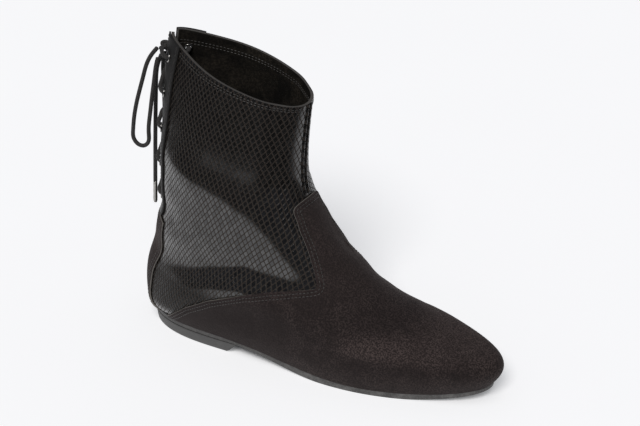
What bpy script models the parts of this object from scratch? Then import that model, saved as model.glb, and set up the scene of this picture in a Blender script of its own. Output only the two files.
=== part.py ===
"""Ankle boot for the right foot, laced down the back, as separate pieces.

The whole upper follows one surface: rings run round the foot from the edge of the sole up to the collar, and a
panel, a strip or an eyelet is placed on it by its ring (0 at the sole, 1 at the collar) and its angle (0 at the
back, pi at the front, left side first). Sizes are in millimetres and turn into metres when a mesh is made.
+X points to the toe, +Y to the inner (left) side of the foot, +Z up, and the sole stands on z = 0.
"""
import math

import bmesh
import bpy
import numpy as np
from mathutils import Matrix, Vector

MM = 0.001

# Where the heel's back lies in front of the origin, so that the origin is under the middle of the boot
ORIGIN_X = 132.55
ORIGIN_Y = 0.4

# Thicknesses and clearances
GAP = 0.3            # between neighbours
WALL = 2.0           # upper with its lining
PANEL = 1.2          # suede and leather laid on the upper
SEAM_LIFT = 0.9      # raised seam down the front
INSOLE = 3.0
SOLE_EDGE = 1.5      # how far the sole stands out past the upper
HEEL_TAPER = 0.6     # how much narrower the heel is at the floor, each side

# Sections of the last, from the sole's edge to the collar: where each ring starts at the back and ends at the
# front, its half widths at the angles below, how much it dips with the sole, and how far it leans inwards
RING_COLUMNS = ("back_x", "back_z", "front_x", "front_z", "heel", "seat", "waist", "ball", "toe", "tip", "dip", "lean")
RINGS = (
    (5.0, 12.0, 258.5, 9.5, 58.0, 43.0, 34.0, 39.5, 36.0, 35.0, 1.00, 0.0),
    (0.0, 24.0, 265.0, 18.5, 59.0, 47.0, 37.5, 41.5, 39.5, 38.5, 0.90, 0.0),
    (1.5, 42.0, 259.5, 27.0, 56.0, 48.0, 39.0, 41.0, 40.5, 39.0, 0.60, 0.0),
    (7.5, 60.0, 231.0, 33.0, 51.5, 46.5, 39.0, 39.5, 38.5, 37.0, 0.35, 0.0),
    (13.5, 78.0, 190.0, 47.5, 46.5, 43.5, 38.0, 37.0, 37.5, 35.5, 0.15, 0.0),
    (18.5, 96.0, 161.5, 69.0, 41.0, 39.5, 36.0, 34.0, 36.5, 34.0, 0.05, 0.0),
    (21.5, 123.5, 134.0, 102.0, 35.5, 35.5, 34.0, 32.0, 36.0, 33.5, 0.00, 0.0),
    (24.0, 152.0, 127.5, 133.0, 30.5, 31.0, 32.0, 31.5, 35.5, 33.5, 0.00, 1.0),
    (26.5, 182.0, 129.5, 159.5, 25.0, 25.5, 28.5, 29.5, 33.0, 32.5, 0.00, 3.0),
    (30.5, 210.3, 131.5, 177.5, 19.0, 20.0, 25.5, 28.0, 30.5, 32.0, 0.00, 5.0),
)
RING = {name: np.array([row[i] for row in RINGS]) for i, name in enumerate(RING_COLUMNS)}
RING_PLACES = np.linspace(0.0, 1.0, len(RINGS))
WIDTH_COLUMNS = ("heel", "seat", "waist", "ball", "toe", "tip")
WIDTH_ANGLES = np.radians((0, 46, 79, 115, 144, 180))

# Height of the sole's upper face along the foot (x, z), and the foot's inward drift at the toe (x, y)
SEAT = np.array(((-5, 12.2), (40, 11.7), (75, 11.2), (120, 8.0), (165, 4.5), (200, 4.5), (235, 6.3), (262, 9.8)))
DRIFT = np.array(((0, 0.0), (90, 0.0), (150, 0.0), (205, 2.2), (225, 2.2), (262, 1.5)))
DRIFT_TOP = 120.0    # no drift above this height
DRIFT_FADE = 60.0

# Underside of the sole: flat under the forefoot, up to the heel behind it and up to the toe before it
FLAT_FROM = 158.0
FLAT_TO = 204.0
WAIST_RISE = 8.0
WAIST_TO = 80.0
TOE_RISE = 6.3
TOE_END = 260.0
BREAST_TOP = 88.0
BREAST_BOTTOM = 80.0

# Back slit, facings and eyelets
SLIT_BOTTOM = 0.478       # ring, just under the counter's edge
SLIT_ROUND = 0.040        # rings over which the round bottom opens
SLIT_HALF_LOW = 4.4
SLIT_HALF_TOP = 3.4
FACING_FROM = 0.497       # ring
FACING_WIDTH = 19.0
COUNTER_TOP = 0.490       # ring
COUNTER_HALF = 30.0       # along the surface, from the middle of the back
SEAM_FROM = 0.725         # ring
SEAM_HALF = 3.0
EYELETS = 5
EYELET_LOW = 97.0         # height at the back
EYELET_TOP = 197.0
EYELET_OUT = 12.0         # along the surface, from the middle of the back
EYELET_BORE = 1.9
EYELET_BARREL = 2.4
EYELET_FLANGE = 3.4
EYELET_HOLE = 2.7

# Side view of the vamp's upper edge (x, z): the wing from the sole up to its corner, then up the tab
VAMP_WING = ((29, 12.8), (52.5, 30.5), (73.5, 42.5), (101.5, 54.0), (119, 58.7), (137, 62.0), (149.5, 63.8))
VAMP_TAB = ((144.5, 74.5), (139.5, 83.5), (131.5, 97.0), (126.5, 108.5), (126.5, 111.3), (133.0, 116.5))

# Lace
LACE = 1.4                # radius
LACE_CLEAR = 5.2          # from an eyelet's middle to the end of a crossing
LACE_LIFT = PANEL + 2 * GAP + LACE
KNOT_HALF = (3.4, 4.4, 3.8)
AGLET_LENGTH = 16.0
AGLET = 1.5               # radius

# Rows of rings and columns round the foot that the upper and its panels share
ROWS = np.array((0, 0.04, 0.09, 0.14, 0.19, 0.24, 0.29, 0.34, 0.39, 0.44, SLIT_BOTTOM, COUNTER_TOP, FACING_FROM,
                 0.52, 0.58, 0.64, 0.70, SEAM_FROM, 0.76, 0.82, 0.88, 0.94, 1.0))
EDGE_DISTANCES = (0.0, FACING_WIDTH / 2, FACING_WIDTH, COUNTER_HALF)
SIDE_COLUMNS = 17


def natural_spline(knots, values, at):
    """Natural cubic spline through values (one row for each knot), read at an array of places."""
    knots = np.asarray(knots, float)
    values = np.asarray(values, float)
    at = np.asarray(at, float)
    steps = np.diff(knots)
    count = len(knots)
    system = np.eye(count)
    bend = np.zeros(values.shape)
    for i in range(1, count - 1):
        system[i, i - 1:i + 2] = steps[i - 1], 2 * (steps[i - 1] + steps[i]), steps[i]
        bend[i] = 6 * ((values[i + 1] - values[i]) / steps[i] - (values[i] - values[i - 1]) / steps[i - 1])
    bend = np.linalg.solve(system, bend)
    k = np.clip(np.searchsorted(knots, at) - 1, 0, count - 2)
    extra = (1,) * (values.ndim - 1)
    step = steps[k].reshape(at.shape + extra)
    after = ((at - knots[k]) / steps[k]).reshape(at.shape + extra)
    before = 1 - after
    curve = ((before**3 - before) * bend[k] + (after**3 - after) * bend[k + 1]) * step**2 / 6
    return before * values[k] + after * values[k + 1] + curve


def seat_height(x):
    """Height of the sole's upper face at x from the heel's back."""
    return natural_spline(SEAT[:, 0], SEAT[:, 1], x)


def last_surface(ring, angle):
    """Points of the upper's outer surface at a ring and an angle, arrays that broadcast together."""
    ring, angle = np.broadcast_arrays(np.asarray(ring, float), np.asarray(angle, float))
    size = {name: natural_spline(RING_PLACES, RING[name], ring) for name in RING_COLUMNS}
    folded = np.pi - np.abs(np.mod(angle, 2 * np.pi) - np.pi)
    shares = natural_spline(WIDTH_ANGLES, np.eye(len(WIDTH_ANGLES)), folded)
    width = sum(shares[..., i] * size[name] for i, name in enumerate(WIDTH_COLUMNS))
    along = (1 - np.cos(angle)) / 2
    x = size["back_x"] + (size["front_x"] - size["back_x"]) * along
    straight = RING["back_z"][0] + (RING["front_z"][0] - RING["back_z"][0]) * along
    z = size["back_z"] + (size["front_z"] - size["back_z"]) * along + size["dip"] * (seat_height(x) - straight)
    drift = natural_spline(DRIFT[:, 0], DRIFT[:, 1], x) * np.clip((DRIFT_TOP - z) / DRIFT_FADE, 0, 1)
    y = width * np.sin(angle) + drift + size["lean"]
    return np.stack([x, y, z], -1)


def outward(ring, angle):
    """Unit normals of the surface, pointing out of the boot."""
    small = 1e-3
    up = last_surface(ring + small, angle) - last_surface(ring - small, angle)
    around = last_surface(ring, angle + small) - last_surface(ring, angle - small)
    normal = np.cross(up, around)
    return normal / np.linalg.norm(normal, axis=-1, keepdims=True)


def lifted(ring, angle, lift):
    """Points at a distance above the upper's surface."""
    ring, angle = np.broadcast_arrays(np.asarray(ring, float), np.asarray(angle, float))
    return last_surface(ring, angle) + lift * outward(ring, angle)


def angle_at(ring, distance):
    """Angle of the point that lies a distance along one ring from the middle of the back, left side."""
    angles = np.linspace(0.0, 1.6, 161)
    points = last_surface(np.full_like(angles, ring), angles)
    run = np.concatenate(([0.0], np.cumsum(np.linalg.norm(np.diff(points, axis=0), axis=1))))
    return np.interp(distance, run, angles)


def slit_half(ring):
    """Half the width of the back slit at a ring: round at its bottom, a little narrower at the collar."""
    share = np.clip((ring - SLIT_BOTTOM) / (1 - SLIT_BOTTOM), 0, 1)
    straight = SLIT_HALF_LOW + (SLIT_HALF_TOP - SLIT_HALF_LOW) * share
    return straight * np.sqrt(np.clip((ring - SLIT_BOTTOM) / SLIT_ROUND, 0, 1))


def ring_at_back_height(height):
    """Ring whose back point lies at a height."""
    rings = np.linspace(0, 1, 401)
    return np.interp(height, natural_spline(RING_PLACES, RING["back_z"], rings), rings)


def column_angles(slit=1.0):
    """Angles of the shared columns, a row for each ring: close together at the slit, then even to the front."""
    half = []
    for ring in ROWS:
        start = [angle_at(ring, slit * slit_half(ring) + distance) for distance in EDGE_DISTANCES]
        half.append(np.concatenate((start, np.linspace(start[-1], np.pi, SIDE_COLUMNS + 1)[1:])))
    half = np.array(half)
    return np.concatenate((half, 2 * np.pi - half[:, -2::-1]), axis=1)


def sole_underside(x):
    """Height of the sole's underside: waist, flat forefoot, toe spring."""
    waist = np.clip((FLAT_FROM - x) / (FLAT_FROM - WAIST_TO), 0, 1)
    toe = np.clip((x - FLAT_TO) / (TOE_END - FLAT_TO), 0, None)
    return WAIST_RISE * (3 * waist**2 - 2 * waist**3) + TOE_RISE * toe**1.8


def sole_edges(x, offset):
    """Left and right edge of the sole's outline at x, moved out from the upper's lowest ring by an offset."""
    angles = np.linspace(0, np.pi, 181)
    edges = []
    for side in (1, -1):
        ring = last_surface(0.0, side * angles)[:, :2]
        tangent = np.gradient(ring, axis=0)
        normal = np.stack([-tangent[:, 1], tangent[:, 0]], -1) * side
        edge = ring + offset * normal / np.linalg.norm(normal, axis=1, keepdims=True)
        edges.append(np.interp(x, edge[:, 0], edge[:, 1]))
    return edges


def material(name, colour, roughness, metallic=0.0):
    """A plain Principled material."""
    made = bpy.data.materials.new(name)
    made.use_nodes = True
    shader = made.node_tree.nodes["Principled BSDF"]
    shader.inputs["Base Color"].default_value = (*colour, 1.0)
    shader.inputs["Roughness"].default_value = roughness
    shader.inputs["Metallic"].default_value = metallic
    return made


def collection(name):
    """A new collection in the scene."""
    made = bpy.data.collections.new(name)
    bpy.context.scene.collection.children.link(made)
    return made


def add_object(name, mesh, look, smooth=True):
    """An object in the boot's collection."""
    mesh.materials.append(look)
    if smooth:
        mesh.shade_smooth()
    made = bpy.data.objects.new(name, mesh)
    boot.objects.link(made)
    made.parent = root
    return made


def to_metres(points):
    """Points in the boot's frame, in metres."""
    return (np.asarray(points) - (ORIGIN_X, ORIGIN_Y, 0.0)) * MM


def grid_mesh(name, points):
    """A sheet over a grid of points, facing outwards and welded where it closes.

    All sheets split their cells along the same diagonal, so that a panel lies evenly on the upper.
    """
    rows, columns = points.shape[:2]
    cell = np.arange((rows - 1) * columns).reshape(rows - 1, columns)[:, :-1].ravel()
    faces = np.stack([cell, cell + columns, cell + columns + 1, cell + 1], -1)
    mesh = bpy.data.meshes.new(name)
    mesh.from_pydata(to_metres(points).reshape(-1, 3).tolist(), [], faces.tolist())
    shape = bmesh.new()
    shape.from_mesh(mesh)
    bmesh.ops.remove_doubles(shape, verts=shape.verts, dist=0.05 * MM)
    bmesh.ops.triangulate(shape, faces=shape.faces, quad_method="FIXED")
    shape.to_mesh(mesh)
    shape.free()
    return mesh


def thicken(target, thickness, offset):
    """Solidify a sheet: offset -1 grows inwards, +1 outwards."""
    shell = target.modifiers.new("Wall", "SOLIDIFY")
    shell.thickness = thickness * MM
    shell.offset = offset
    shell.use_even_offset = True


def boolean(target, cutter, operation):
    """Cut, join or keep the common part of two solids."""
    cut = target.modifiers.new(operation.title(), "BOOLEAN")
    cut.operation = operation
    cut.object = cutter
    cut.solver = "EXACT"


def add_cutter(name, mesh):
    """A helper solid that shapes other pieces and isn't one itself."""
    made = bpy.data.objects.new(name, mesh)
    made.hide_render = True
    made.display_type = "WIRE"
    cutters.objects.link(made)
    return made


def loft_mesh(name, sections):
    """A closed solid through sections of four corners each, with flat ends."""
    count, corners = sections.shape[:2]
    shape = bmesh.new()
    rings = [[shape.verts.new(point) for point in section] for section in to_metres(sections)]
    for first, second in zip(rings[:-1], rings[1:]):
        for i in range(corners):
            j = (i + 1) % corners
            shape.faces.new((first[i], first[j], second[j], second[i]))
    shape.faces.new(rings[0])
    shape.faces.new(rings[-1])
    bmesh.ops.recalc_face_normals(shape, faces=shape.faces)
    mesh = bpy.data.meshes.new(name)
    shape.to_mesh(mesh)
    shape.free()
    return mesh


def prism(name, outline):
    """A cutter that has a side view's outline (x, z) and runs right across the boot."""
    shape = bmesh.new()
    half_width = 80.0
    near = [shape.verts.new(to_metres((x, -half_width, z))) for x, z in outline]
    face = shape.faces.new(near)
    sweep = bmesh.ops.extrude_face_region(shape, geom=[face])
    moved = [item for item in sweep["geom"] if isinstance(item, bmesh.types.BMVert)]
    bmesh.ops.translate(shape, verts=moved, vec=(0, 2 * half_width * MM, 0))
    bmesh.ops.recalc_face_normals(shape, faces=shape.faces)
    mesh = bpy.data.meshes.new(name)
    shape.to_mesh(mesh)
    shape.free()
    return add_cutter(name, mesh)


def even_sections(start, end, count):
    """Places along the foot, close together at both ends where the outline turns."""
    return start + (end - start) * (1 - np.cos(np.linspace(0.07, np.pi - 0.07, count))) / 2


def plate(x_top, x_bottom, offset_top, offset_bottom, top, bottom):
    """Sections of a piece of the sole between two heights, four corners each."""
    left_top, right_top = sole_edges(x_top, offset_top)
    left_low, right_low = sole_edges(x_bottom, offset_bottom)
    corners = ((x_top, left_top, top), (x_top, right_top, top), (x_bottom, right_low, bottom), (x_bottom, left_low, bottom))
    return np.stack([np.stack(np.broadcast_arrays(*corner), -1) for corner in corners], 1)


def make_outsole(look):
    """Thin rubber sole: true outline, waist, flat forefoot and toe spring."""
    x = even_sections(RINGS[0][0] - SOLE_EDGE, RINGS[0][2] + SOLE_EDGE, 40)
    sections = plate(x, x, SOLE_EDGE, SOLE_EDGE, seat_height(x) - GAP, sole_underside(x))
    return add_object("outsole", loft_mesh("outsole", sections), look, smooth=False)


def make_heel(look):
    """Low heel block with a slanted breast, flat on the floor."""
    back = RINGS[0][0] - SOLE_EDGE
    share = (1 - np.cos(np.linspace(0.1, 2.2, 22)))
    share = share / share[-1]
    x_top = back + (BREAST_TOP - back) * share
    x_low = back + HEEL_TAPER + (BREAST_BOTTOM - back - HEEL_TAPER) * share
    sections = plate(x_top, x_low, SOLE_EDGE, SOLE_EDGE - HEEL_TAPER, sole_underside(x_top) - GAP, 0.0 * x_low)
    return add_object("heel", loft_mesh("heel", sections), look, smooth=False)


def make_insole(look):
    """Insole inside the wall, resting on the sole."""
    inset = WALL + 2 * GAP
    x = even_sections(RINGS[0][0] + inset, RINGS[0][2] - inset, 30)
    sections = plate(x, x, -inset, -inset, seat_height(x) + INSOLE, seat_height(x))
    return add_object("insole", loft_mesh("insole", sections), look, smooth=False)


def eyelet_places():
    """Ring and angle of each eyelet, left side, from the lowest up."""
    rings = ring_at_back_height(np.linspace(EYELET_LOW, EYELET_TOP, EYELETS))
    return [(ring, angle_at(ring, EYELET_OUT)) for ring in rings]


def eyelet_frame(ring, angle):
    """Placement with z along the surface's normal, on the facing's outer side."""
    place = to_metres(lifted(ring, angle, GAP + PANEL))
    axis = Vector(outward(np.array(ring), np.array(angle)))
    return Matrix.Translation(place) @ axis.to_track_quat("Z", "Y").to_matrix().to_4x4()


def make_eyelet_cutter():
    """Round holes through facings and upper."""
    shape = bmesh.new()
    for ring, angle in eyelet_places():
        for side in (1, -1):
            bmesh.ops.create_cone(shape, cap_ends=True, segments=12, radius1=EYELET_HOLE * MM,
                                  radius2=EYELET_HOLE * MM, depth=14 * MM, matrix=eyelet_frame(ring, side * angle))
    mesh = bpy.data.meshes.new("eyelet_holes")
    shape.to_mesh(mesh)
    shape.free()
    return add_cutter("eyelet_holes", mesh)


def make_eyelets(look):
    """Turned metal eyelets: a barrel through the wall and a flange on the facing."""
    inner = -(PANEL + GAP + WALL + 0.1)
    profile = ((EYELET_BORE, 0.9), (EYELET_FLANGE, 0.7), (EYELET_FLANGE, GAP), (EYELET_BARREL, GAP),
               (EYELET_BARREL, inner), (EYELET_BORE, inner))
    mesh = bpy.data.meshes.new("eyelet")
    edges = [(i, (i + 1) % len(profile)) for i in range(len(profile))]
    mesh.from_pydata([(r * MM, 0, z * MM) for r, z in profile], edges, [])
    for number, (ring, angle) in enumerate(eyelet_places(), start=1):
        for side, word in ((1, "left"), (-1, "right")):
            eyelet = add_object(f"eyelet_{word}_{number}", mesh.copy(), look)
            eyelet.matrix_world = eyelet_frame(ring, side * angle)
            turn = eyelet.modifiers.new("Turn", "SCREW")
            turn.axis = "Z"
            turn.angle = 2 * math.pi
            turn.steps = 8
            turn.render_steps = 8
            turn.use_merge_vertices = True
            turn.merge_threshold = 0.00001


def make_upper(angles, holes, look):
    """Hollow wall of the upper: open at the collar, down the back slit and underneath."""
    sheet = last_surface(ROWS[:, None], angles)
    upper = add_object("upper", grid_mesh("upper", sheet), look)
    thicken(upper, WALL, -1)
    boolean(upper, holes, "DIFFERENCE")


def panel(name, angles, rows, columns, look, thickness=PANEL):
    """A panel laid on the upper over some rows and columns of its grid."""
    sheet = lifted(ROWS[rows, None], angles[rows, columns], GAP)
    made = add_object(name, grid_mesh(name, sheet), look)
    thicken(made, thickness, 1)
    return made


def rows_between(low, high):
    """Slice of the shared rows from one ring to another."""
    chosen = np.flatnonzero((ROWS > low - 1e-6) & (ROWS < high + 1e-6))
    return slice(chosen[0], chosen[-1] + 1)


def make_vamp(angles, look):
    """Vamp with its instep tab and its two wings, kept where a lifted form meets the side view's outline."""
    middle = angles.shape[1] // 2
    reach = SIDE_COLUMNS
    made = panel("vamp", angles, rows_between(0.0, 0.76), slice(middle - reach, middle + reach + 1), look)
    x = np.linspace(VAMP_WING[0][0], 285.0, 44)
    floor = list(zip(x, seat_height(np.minimum(x, 262.0))))
    boolean(made, prism("vamp_outline", [*VAMP_WING, *VAMP_TAB, (285.0, VAMP_TAB[-1][1]), *floor[::-1]]), "INTERSECT")


def make_counter(look):
    """Counter round the back of the heel, from the sole to the foot of the slit."""
    reach = len(EDGE_DISTANCES)
    angles = column_angles(slit=0.0)
    around = np.concatenate((angles[:, -reach:-1] - 2 * np.pi, angles[:, :reach]), axis=1)
    made = panel("counter", around, rows_between(0.0, COUNTER_TOP), slice(None), look)
    x = np.linspace(-10.0, 70.0, 9)
    floor = list(zip(x, seat_height(x)))
    boolean(made, prism("counter_outline", [(-10.0, 120.0), (70.0, 120.0), *floor[::-1]]), "INTERSECT")


def make_facings(angles, holes, look):
    """Two smooth strips along the back slit, with the eyelets' holes."""
    rows = rows_between(FACING_FROM, 1.0)
    for word, columns in (("left", slice(0, 3)), ("right", slice(-3, None))):
        boolean(panel(f"facing_{word}", angles, rows, columns, look), holes, "DIFFERENCE")


def make_front_seam(look):
    """Raised seam down the middle of the front."""
    rows = rows_between(SEAM_FROM, 1.0)
    turn = SEAM_HALF / natural_spline(RING_PLACES, RING["tip"], ROWS)
    angles = np.pi + turn[:, None] * np.array((-1, 0, 1))
    panel("front_seam", angles, rows, slice(None), look, SEAM_LIFT)


def cord_curve(name, route, radius=LACE, spacing=8.0):
    """A cord along a smooth curve through its route's points."""
    route = np.asarray(route, float)
    run = np.concatenate(([0.0], np.cumsum(np.linalg.norm(np.diff(route, axis=0), axis=1))))
    count = max(3, int(round(run[-1] / spacing)) + 1)
    points = to_metres(natural_spline(run, route, np.linspace(0, run[-1], count)))
    curve = bpy.data.curves.new(name, "CURVE")
    curve.dimensions = "3D"
    curve.bevel_depth = radius * MM
    curve.bevel_resolution = 2
    curve.use_fill_caps = True
    line = curve.splines.new("POLY")
    line.points.add(count - 1)
    line.points.foreach_set("co", np.append(points, np.ones((count, 1)), axis=1).ravel())
    return curve


def cord_mesh(name, route, radius=LACE, spacing=8.0):
    """The same cord as a closed mesh, to be joined with others."""
    temporary = bpy.data.objects.new(name, cord_curve(name, route, radius, spacing))
    boot.objects.link(temporary)
    bpy.context.view_layer.update()
    seen = temporary.evaluated_get(bpy.context.evaluated_depsgraph_get())
    mesh = bpy.data.meshes.new_from_object(seen)
    bpy.data.objects.remove(temporary)
    shape = bmesh.new()
    shape.from_mesh(mesh)
    bmesh.ops.remove_doubles(shape, verts=shape.verts, dist=0.01 * MM)
    bmesh.ops.recalc_face_normals(shape, faces=shape.faces)
    shape.to_mesh(mesh)
    shape.free()
    return mesh


def over_the_slit(first, second):
    """Route on the facings from one place (ring, angle), over the slit, to another, cut short at both ends."""
    share = np.linspace(0, 1, 9)
    ring = first[0] + (second[0] - first[0]) * share
    angle = first[1] + (second[1] - first[1]) * share
    whole = lifted(ring, angle, LACE_LIFT)
    run = np.concatenate(([0.0], np.cumsum(np.linalg.norm(np.diff(whole, axis=0), axis=1))))
    return natural_spline(run, whole, np.linspace(LACE_CLEAR, run[-1] - LACE_CLEAR, 7))


def make_lacing(look):
    """The four crossings over the slit, each joined into one piece."""
    places = eyelet_places()
    for number, ((low, low_angle), (high, high_angle)) in enumerate(zip(places[:-1], places[1:]), start=1):
        rise = over_the_slit((low, low_angle), (high, -high_angle))
        fall = over_the_slit((low, -low_angle), (high, high_angle))
        crossing = add_object(f"lace_cross_{number}", cord_mesh("rise", rise, spacing=6.5), look)
        boolean(crossing, add_cutter(f"cross_{number}", cord_mesh("fall", fall, spacing=6.5)), "UNION")


def make_knot(look):
    """The bow's knot over the slit, joined with the two short stretches that come from the top eyelets."""
    ring, angle = eyelet_places()[-1]
    bar = over_the_slit((ring, angle), (ring, -angle))
    knot = add_object("lace_knot", cord_mesh("knot", bar, spacing=3.0), look)
    shape = bmesh.new()
    bmesh.ops.create_uvsphere(shape, u_segments=14, v_segments=8, radius=1.0)
    middle = to_metres(lifted(ring, 0.0, LACE_LIFT + 2.2))
    bmesh.ops.transform(shape, verts=shape.verts, matrix=Matrix.Diagonal((*np.multiply(KNOT_HALF, MM), 1.0)))
    bmesh.ops.translate(shape, verts=shape.verts, vec=Vector(middle))
    mesh = bpy.data.meshes.new("knot_ball")
    shape.to_mesh(mesh)
    shape.free()
    boolean(knot, add_cutter("knot_ball", mesh), "UNION")


# The bow's free cords, as places behind the boot (x, y, z): two loops and two ends
LOOP_RIGHT = ((20.5, -1.0, 198.0), (17.5, -4.5, 193.5), (11.5, -7.5, 178.5), (6.5, -9.0, 163.5), (2.6, -10.0, 149.5),
              (0.2, -10.0, 138.2), (0.0, -9.9, 132.6), (3.4, -9.7, 128.6), (8.2, -9.4, 128.6), (11.8, -9.1, 132.6),
              (12.3, -8.8, 138.2), (14.2, -8.0, 151.5), (16.9, -7.0, 165.5), (19.3, -5.5, 179.0), (20.3, -3.5, 187.5),
              (20.6, -1.6, 191.2))
LOOP_LEFT = ((20.5, 9.2, 198.0), (18.5, 13.0, 193.5), (13.6, 17.0, 184.0), (9.4, 20.0, 171.0), (7.7, 21.6, 161.6),
             (7.5, 22.0, 156.0), (11.1, 22.1, 152.0), (15.9, 21.8, 152.0), (19.5, 21.2, 156.0), (19.7, 20.5, 161.6),
             (19.8, 18.5, 171.0), (20.1, 15.0, 181.0), (20.5, 11.5, 188.0), (20.6, 9.8, 191.2))
END_RIGHT = ((20.8, 2.0, 192.0), (17.5, 1.0, 184.0), (15.6, 0.2, 172.0), (14.0, -0.5, 156.0), (11.6, -1.0, 134.0),
             (9.4, -1.2, 114.0), (7.7, -1.3, 98.0))
END_LEFT = ((20.8, 6.2, 192.0), (17.5, 7.5, 184.0), (15.6, 8.5, 172.0), (14.0, 9.3, 156.0), (12.4, 9.6, 140.0),
            (10.8, 9.8, 124.0))
# Straight stretches of the bow's solids: short round the loops, longer down the ends
LOOP_STEP = 5.5
END_STEP = 12.0


def make_bow(look, metal):
    """Loops, ends and their aglets as free cords."""
    routes = {"lace_loop_right": (LOOP_RIGHT, LOOP_STEP), "lace_loop_left": (LOOP_LEFT, LOOP_STEP),
              "lace_end_right": (END_RIGHT, END_STEP), "lace_end_left": (END_LEFT, END_STEP)}
    for name, (route, step) in routes.items():
        cord = bpy.data.objects.new(name, cord_curve(name, route, spacing=step))
        cord.data.materials.append(look)
        boot.objects.link(cord)
        cord.parent = root
    for word, route in (("right", END_RIGHT), ("left", END_LEFT)):
        tip = np.array(route[-1])
        down = tip - np.array(route[-2])
        down = down / np.linalg.norm(down)
        ends = np.stack([tip + GAP * down, tip + (GAP + AGLET_LENGTH / 2) * down, tip + (GAP + AGLET_LENGTH) * down])
        add_object(f"aglet_{word}", cord_mesh(f"aglet_{word}", ends, AGLET, AGLET_LENGTH / 2), metal)


for old in list(bpy.data.objects):
    bpy.data.objects.remove(old)
boot = collection("ankle_boot")
cutters = collection("cutters")
root = bpy.data.objects.new("boot_frame", None)
boot.objects.link(root)

snake = material("snake_embossed_leather", (0.022, 0.021, 0.021), 0.40)
suede = material("dark_suede", (0.024, 0.021, 0.020), 0.92)
leather = material("smooth_leather", (0.020, 0.019, 0.019), 0.48)
rubber = material("grey_rubber", (0.062, 0.062, 0.064), 0.60)
sock = material("dark_lining", (0.016, 0.016, 0.017), 0.75)
brass = material("dark_metal", (0.16, 0.15, 0.14), 0.30, 1.0)
braid = material("black_braid", (0.018, 0.017, 0.017), 0.80)

grid_angles = column_angles()
eyelet_holes = make_eyelet_cutter()
make_upper(grid_angles, eyelet_holes, snake)
make_vamp(grid_angles, suede)
make_counter(suede)
make_facings(grid_angles, eyelet_holes, leather)
make_front_seam(snake)
make_insole(sock)
make_outsole(rubber)
make_heel(rubber)
make_eyelets(brass)
make_lacing(braid)
make_knot(braid)
make_bow(braid, brass)
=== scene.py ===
# %% [markdown]
# # A laced ankle boot, dressed for its portrait
# The boot is a right one: suede vamp and counter, snake-embossed quarters, a slit down the back that a cord
# laces up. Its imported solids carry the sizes. This lesson lays finer surfaces over them, sews them,
# finishes them and lights them. Sizes are in millimetres from the heel's back, and turn into metres of the
# boot's frame when a mesh is made.

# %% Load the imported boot
import math
from functools import partialmethod

import bmesh
import bpy
import numpy as np
from mathutils import Matrix


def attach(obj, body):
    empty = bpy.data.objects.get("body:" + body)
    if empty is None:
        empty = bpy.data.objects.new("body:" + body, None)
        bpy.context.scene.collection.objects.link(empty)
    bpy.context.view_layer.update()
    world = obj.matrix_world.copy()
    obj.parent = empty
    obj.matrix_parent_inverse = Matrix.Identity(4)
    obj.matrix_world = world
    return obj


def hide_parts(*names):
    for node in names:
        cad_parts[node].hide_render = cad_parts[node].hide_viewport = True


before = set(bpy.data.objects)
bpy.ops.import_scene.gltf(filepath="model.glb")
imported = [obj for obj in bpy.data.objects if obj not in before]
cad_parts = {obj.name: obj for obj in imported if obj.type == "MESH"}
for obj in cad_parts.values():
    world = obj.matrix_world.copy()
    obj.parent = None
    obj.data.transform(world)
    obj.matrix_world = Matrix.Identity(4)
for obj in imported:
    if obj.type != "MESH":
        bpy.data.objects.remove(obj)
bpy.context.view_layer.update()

# %% [markdown]
# ## Camera
# The view looks down at the outer side of the boot, from in front of it. A camera can be pointed by hand or
# with a constraint. Here it is built from its place, what it looks at and which way is up, so that the same
# three named values also give its slight roll.

# %% Camera
MM = 0.001
ORIGIN = np.array((132.55, 0.4, 0.0))     # the frame's origin, from the heel's back
EYE = np.array((637.0, -786.2, 603.2))
LOOK = np.array((-0.4721, 0.744, -0.4728))
UP = np.array((-0.2066, 0.4216, 0.8829))
LENS = 92.5


def to_frame(points):
    """Millimetres from the heel's back, turned into metres of the boot's frame."""
    return (np.asarray(points) - ORIGIN) * MM


def unit(vectors):
    """The same directions with length 1."""
    return vectors / np.linalg.norm(vectors, axis=-1, keepdims=True)


def aim(eye, look, up):
    """Placement that looks along one direction: right is look x up, and up is squared to both."""
    right = unit(np.cross(look, up))
    placement = np.eye(4)
    placement[:3] = np.stack([right, np.cross(right, unit(look)), -unit(look), eye], 1)
    return Matrix(placement.tolist())


def put_in_scene(name, data):
    """A new object in the scene."""
    made = bpy.data.objects.new(name, data)
    bpy.context.scene.collection.objects.link(made)
    return made


camera = put_in_scene("camera", bpy.data.cameras.new("camera"))
camera.data.lens = LENS
camera.matrix_world = aim(to_frame(EYE), LOOK, UP)
bpy.context.scene.camera = camera
print("camera at", np.round(to_frame(EYE), 3).tolist(), "lens", LENS)

# %% [markdown]
# ## The last
# A shoemaker pulls the leather over a last, and every panel takes its form. The same holds here: one
# function gives a point of the upper for a ring (0 at the sole, 1 at the collar) and an angle (0 at the
# back, pi at the front, left side first). A few section rows, joined by natural cubic splines, are enough
# for a smooth last.

# %% Sections of the last
GAP = 0.3
WALL = 2.0
PANEL = 1.2
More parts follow.
